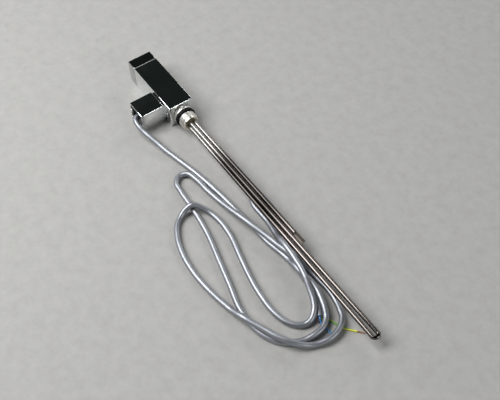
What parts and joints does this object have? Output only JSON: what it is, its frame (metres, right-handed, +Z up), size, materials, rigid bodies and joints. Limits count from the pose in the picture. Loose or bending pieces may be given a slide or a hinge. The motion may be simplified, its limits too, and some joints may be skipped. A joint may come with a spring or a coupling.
{
  "type": "screw-in electric immersion heating element with control head",
  "caption": "Square chrome control head with a side cable outlet and lead, a gasketed pipe-thread nipple and a long hairpin heater tube beside a sensor tube.",
  "frame": {"origin": "centre of the head's flat underside", "axes": "+X along the heater tubes towards their tip, +Z up, the cable outlet on the -Y side"},
  "size_m": [0.555, 0.1518, 0.038],
  "materials": {
    "chrome": "mirror polished plating",
    "seam_grey": "grey, satin",
    "cap_black": "black, high gloss",
    "plastic_black": "black, satin",
    "rubber_black": "black, matt",
    "screw_steel": "bright plated",
    "plated_brass": "thinly nickel plated, bright",
    "braze_brass": "yellowish, satin",
    "tube_steel": "bright drawn tube with heat tint",
    "tip_dark": "heat darkened",
    "potting": "off-white, matt",
    "mineral": "white packed powder",
    "wire_metal": "dull drawn wire",
    "ceramic": "white glazed",
    "lead_white": "white insulation",
    "lead_red": "red insulation",
    "board_green": "green lacquer",
    "capacitor_blue": "dark blue sleeve",
    "fuse_tan": "tan coating",
    "terminal_green": "green, satin",
    "cable_grey": "light blue-grey, smooth flexible sheath",
    "core_green_yellow": "yellow with green stripes",
    "core_blue": "blue insulation",
    "core_brown": "brown insulation",
    "copper": "bare stranded copper"
  },
  "bodies": {
    "head": {"head_shell": "chrome", "seam_ring": "seam_grey", "end_cap": "cap_black", "socket_block": "plastic_black", "outlet_neck": "chrome", "outlet_sleeve": "chrome", "cable_plate": "plastic_black", "cable_bush": "rubber_black", "clamp_bar": "plastic_black", "board_carrier": "potting", "circuit_board": "board_green", "power_switch": "plastic_black", "supply_capacitor": "capacitor_blue", "thermal_fuse": "fuse_tan", "terminal_block": "terminal_green", "lead_connector": "potting", "lead_bundle": "lead_red", "cable_tails": "core_blue", "mains_cable": "cable_grey", "earth_core": "core_green_yellow", "blue_core": "core_blue", "brown_core": "core_brown", "copper_end": "copper"},
    "element": {"nipple": "plated_brass", "gasket": "rubber_black", "tube_plate": "braze_brass", "spigot_seal": "rubber_black", "rear_potting": "potting", "heater_tube": "tube_steel", "heater_filling": "mineral", "heater_wire": "wire_metal", "cold_pins": "wire_metal", "pin_beads": "ceramic", "sensor_tube": "tube_steel", "sensor_tip": "tip_dark", "sensor_bead": "plastic_black", "sensor_leads": "lead_white"},
    "clamp_screw_a": {"clamp_screw_upper": "screw_steel"},
    "clamp_screw_b": {"clamp_screw_lower": "screw_steel"},
    "grub_screw": {"set_screw": "screw_steel"}
  },
  "joints": [
    {"name": "element_swivel", "type": "hinge", "parent": "head", "child": "element", "pos_m": [0.046, 0, 0.019], "axis": [1, 0, 0], "range_deg": [-90, 90]},
    {"name": "grub_screw_turn", "type": "hinge", "parent": "head", "child": "grub_screw", "pos_m": [0.0485, -0.0143, 0.019], "axis": [0, 1, 0], "continuous": true},
    {"name": "clamp_screw_a_turn", "type": "hinge", "parent": "head", "child": "clamp_screw_a", "pos_m": [0.017, -0.056, 0.025], "axis": [0, 1, 0], "continuous": true},
    {"name": "clamp_screw_b_turn", "type": "hinge", "parent": "head", "child": "clamp_screw_b", "pos_m": [0.017, -0.056, 0.01], "axis": [0, 1, 0], "continuous": true}
  ]
}
